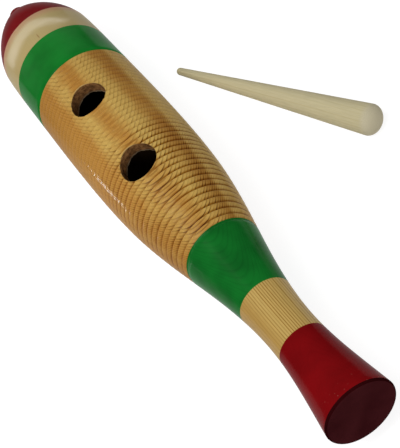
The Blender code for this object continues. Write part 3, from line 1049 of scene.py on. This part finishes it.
# %% Turn the stick
STICK_SEGMENTS = 56
STICK_STEP = 5.0  # mm between points


def stick_outline():
    """(place, radius) from the domed butt to the round tip."""
    butt = reversed(quarter(STICK_DOME, 0.0, -STICK_DOME, STICK_BUTT, count=14))
    tip_start = STICK_LENGTH - STICK_TIP
    places = even(STICK_DOME, tip_start, STICK_STEP)[1:]
    taper = [(place, STICK_BUTT - (place - STICK_DOME) * STICK_TAPER) for place in places]
    return [*butt, *taper, *quarter(tip_start, 0.0, STICK_TIP, STICK_TIP)]


stick = turn("stick_turned", stick_outline(), STICK_SEGMENTS, bare_wood)
place_piece("scraper", stick, stick_seat, "stick", "scraper_stick")

# %% [markdown]
# ## A white card to lie on
#
# The picture has a white background. The floor is a pale card that takes the light and the soft shadow and
# bounces some of it up to the belly. To the camera and in reflections it also glows a little, so it reads as
# white without more light on the wood, and the lacquer mirrors it along both flanks.

# %% Floor
FLOOR_HALF = 0.52  # m
CARD_SHARE = 0.72  # share of the glow in what the camera sees
CARD_GLOW = 1.25


def shows_picture(tree):
    """1 for rays from the camera, a mirror or glass, and 0 for rays that only bring light."""
    ray = add(tree, "LightPath")
    seen = ray["Is Camera Ray"]
    for kind in ("Is Glossy Ray", "Is Transmission Ray"):
        seen = add(tree, "Math", {0: seen, 1: ray[kind]}, "MAXIMUM")[0]
    return seen


def white_card():
    """Matt white card that reads as white but keeps the shadow."""
    finish, tree, shader = new_finish("white_card")
    fill(tree, shader, {"Base Color": linear("#E2E2E2"), "Roughness": 0.95, "Specular IOR Level": 0.0})
    share = add(tree, "Math", {0: shows_picture(tree), 1: CARD_SHARE}, "MULTIPLY")[0]
    glow = add(tree, "Emission", {"Strength": CARD_GLOW})[0]
    lit = tree.nodes["Principled BSDF"].outputs[0]
    mixed = add(tree, "MixShader", {0: share, 1: lit, 2: glow})[0]
    tree.links.new(mixed, tree.nodes["Material Output"].inputs["Surface"])
    return finish


floor_mesh = bpy.data.meshes.new("floor")
signs = ((-1, -1), (1, -1), (1, 1), (-1, 1))
floor_mesh.from_pydata([(x * FLOOR_HALF, y * FLOOR_HALF, 0.0) for x, y in signs], [], [(0, 1, 2, 3)])
floor_mesh.materials.append(white_card())
floor = put("floor", floor_mesh)
print("the card is", 2 * FLOOR_HALF, "m wide")

# %% [markdown]
# ## A white surround
#
# Beyond the card the world is white to the camera. It gives only a little light of its own, so that the
# lamps shape the fish.

# %% White surround
SURROUND_LIGHT = 0.15

world = bpy.data.worlds.new("studio")
world.use_nodes = True
bpy.context.scene.world = world
sky = world.node_tree
level = add(sky, "MapRange", {0: shows_picture(sky), 3: SURROUND_LIGHT, 4: 1.0})[0]
fill(sky, sky.nodes["Background"].inputs, {"Strength": level, "Color": (1.0, 1.0, 1.0, 1.0)})
print("the surround lights the fish with a strength of", SURROUND_LIGHT)

# %% [markdown]
# ## Studio light
#
# A softbox hangs over the fish, to its left, and lights its back. One stands low behind the tail, to the
# right, and lights the right flank and the tail's end. A tiny one low on the left is mirrored as a row of
# glints on the ridges there.

# %% Lamps
def softbox(name, place, target, width, height, watts, spread=180):
    """Area lamp at a place, turned to a target, both in metres, with its spread in degrees."""
    lamp = bpy.data.lights.new(name, "AREA")
    lamp.shape = "RECTANGLE"
    lamp.size = width
    lamp.size_y = height
    lamp.energy = watts
    lamp.spread = math.radians(spread)
    box = put(name, lamp)
    box.location = place
    box.rotation_euler = (Vector(target) - Vector(place)).to_track_quat("-Z", "Y").to_euler()
    print(name, "gives", watts, "W")


softbox("overhead", (-0.26, 0.38, 1.2), (0.0, 0.04, 0.03), 0.9, 0.9, 12.9)
softbox("behind_tail", (-1.25, -0.6, 0.16), (0.0, -0.05, 0.03), 0.5, 0.3, 3.2)
softbox("low_left", (0.32, 0.68, 0.05), (-0.008, 0.065, 0.05), 0.08, 0.18, 0.0075, spread=9)

# %% [markdown]
# ## A bent strip of light beyond the nose
#
# The head carries a bright arc just behind the nose. It is the reflection of a light, and only a light that
# bends round the fish's axis is reflected as an arc round the head. So a narrow strip stands upright beyond
# the nose, bent to an arch. It reaches further out on the right and further down on the left, narrows towards
# its right end and fades towards both feet. The head swells gently there, which keeps the arc narrow.

# %% The arch
ARCH_LEVEL = 0.34  # m along the fish, on its head
ARCH_BEYOND = 1.0  # m from there to the arch
ARCH_RIGHT = 0.75  # m from the axis to the right
ARCH_LEFT = 0.712
ARCH_HEIGHT = 0.685
ARCH_STRIP = 0.072  # m, the strip's width
ARCH_POINT = 0.05  # share of that at its right end
ARCH_STEPS = 48
ARCH_ENDS = (math.radians(-110), math.radians(125))  # how far it comes down on the right and the left
ARCH_TAPER = math.radians(85)  # over which it narrows to its right end
ARCH_FADE = (-0.35, 0.35)  # m, heights between which it grows bright
ARCH_GLOW = 8.7


def light_arch():
    """Upright, bent strip that gives light, unseen by the camera itself."""
    finish, tree, _ = new_finish("opal_strip")
    up = add(tree, "SeparateXYZ", {0: add(tree, "TexCoord")["Object"]})[2]
    fade = {0: up, 1: ARCH_FADE[0], 2: ARCH_FADE[1], 3: 0.0, 4: ARCH_GLOW}
    glow = add(tree, "Emission", {"Strength": add(tree, "MapRange", fade)[0]})[0]
    tree.links.new(glow, tree.nodes["Material Output"].inputs["Surface"])
    middle = fish_seat @ Vector((ARCH_LEVEL, 0.0, 0.0))
    corners = []
    for i in range(ARCH_STEPS + 1):
        turned = ARCH_ENDS[0] + (ARCH_ENDS[1] - ARCH_ENDS[0]) * i / ARCH_STEPS
        strip = ARCH_STRIP * max(ARCH_POINT, min(1.0, (turned - ARCH_ENDS[0]) / ARCH_TAPER))
        half_width = ARCH_LEFT if turned > 0 else ARCH_RIGHT
        for rim in (-strip / 2, strip / 2):
            across = (half_width + rim) * math.sin(turned)
            height = (ARCH_HEIGHT + rim) * math.cos(turned)
            corners.append(middle + Vector((ARCH_BEYOND, across, height)))
    mesh = bpy.data.meshes.new("light_arch")
    mesh.from_pydata(corners, [], [(2 * i, 2 * i + 1, 2 * i + 3, 2 * i + 2) for i in range(ARCH_STEPS)])
    mesh.materials.append(finish)
    arch = put("light_arch", mesh)
    arch.visible_camera = False
    return arch


light_arch()
print("arch of light", round(ARCH_LEFT + ARCH_RIGHT, 2), "m wide")

# %% [markdown]
# ## A dark room for the reflections
#
# Lacquer mirrors whatever stands round it. A white surround would lay a haze over the paint, and the picture
# shows deep colours, so the room beyond the white card is dark. Only reflections see it.

# %% The dark room
ROOM_RADIUS = 2.4  # m


def dark_room():
    """Dark walls all round, seen only in the gloss of the lacquer."""
    finish, tree, shader = new_finish("dark_wall")
    fill(tree, shader, {"Base Color": linear("#1C1C1C"), "Roughness": 1.0, "Specular IOR Level": 0.0})
    shell = bmesh.new()
    bmesh.ops.create_uvsphere(shell, u_segments=48, v_segments=24, radius=ROOM_RADIUS)
    mesh = bpy.data.meshes.new("dark_room")
    shell.to_mesh(mesh)
    shell.free()
    mesh.materials.append(finish)
    room = put("dark_room", mesh)
    room.visible_camera = False
    room.visible_diffuse = False
    room.visible_transmission = False
    room.visible_shadow = False
    return room


dark_room()
bpy.context.scene.view_settings.view_transform = "Standard"
print("dark room", 2 * ROOM_RADIUS, "m wide")
